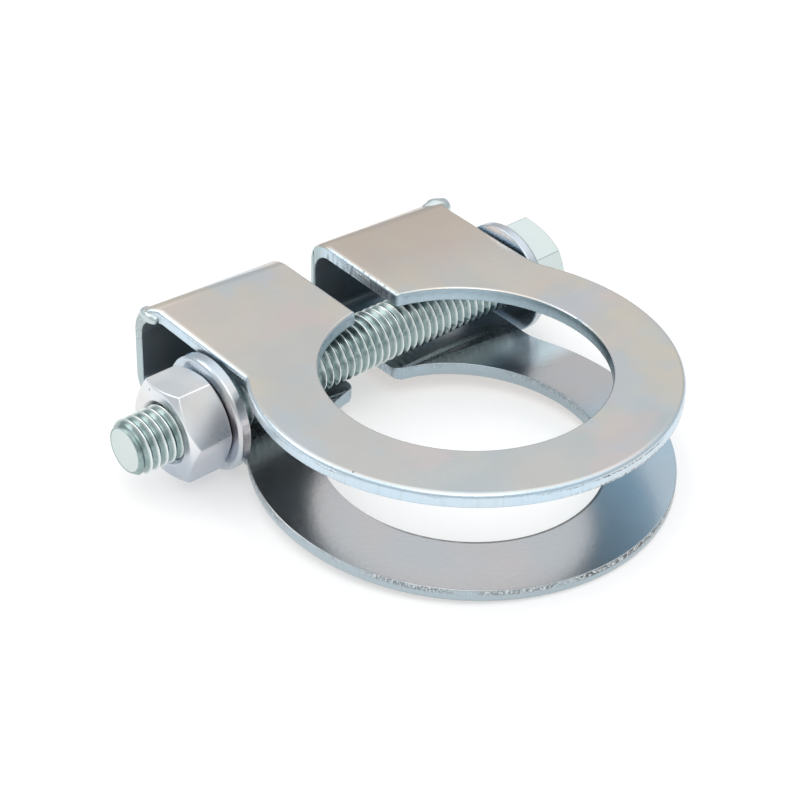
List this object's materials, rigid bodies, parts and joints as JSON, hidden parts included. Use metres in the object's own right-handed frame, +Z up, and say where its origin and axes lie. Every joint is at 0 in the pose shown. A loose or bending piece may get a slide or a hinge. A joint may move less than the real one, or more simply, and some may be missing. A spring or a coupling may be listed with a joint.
{
  "type": "exhaust clamp",
  "caption": "Two-plate exhaust clamp: a folded steel strap with a slotted bore and boxed ears, drawn together by a hex bolt, nut and flat washers.",
  "frame": {"origin": "on the bore's axis, half way between the two plates at the bore", "axes": "+Z up the bore's axis, +Y from the bore to the folded ears, +X along the bolt towards its head"},
  "size_m": [0.0732, 0.069, 0.0186],
  "materials": {
    "plated_strap": "zinc plated, satin, faintly iridescent",
    "plated_bolt": "zinc plated, bright",
    "plated_washer": "zinc plated, bright",
    "plated_nut": "zinc plated, satin"
  },
  "bodies": {
    "strap": {"clamp_strap": "plated_strap"},
    "bolt": {"hex_bolt": "plated_bolt", "head_washer": "plated_washer"},
    "travelling_washer": {"nut_washer": "plated_washer"},
    "nut": {"hex_nut": "plated_nut"}
  },
  "joints": [
    {"name": "bolt_turn", "type": "hinge", "parent": "strap", "child": "bolt", "pos_m": [0, 0.0217, 0.0003], "axis": [0.9991, 0.0331, 0.0262], "continuous": true},
    {"name": "nut_travel", "type": "slide", "parent": "strap", "child": "travelling_washer", "axis": [-0.9991, -0.0331, -0.0262], "range_m": [0, 0.0101]},
    {"name": "nut_turn", "type": "hinge", "parent": "travelling_washer", "child": "nut", "pos_m": [-0.02769, 0.02078, -0.00043], "axis": [-0.9991, -0.0331, -0.0262], "range_deg": [0, 2880]}
  ],
  "couplings": [
    {"joint": "nut_travel", "follows": "nut_turn", "m_per_rad": 0.00019894}
  ]
}
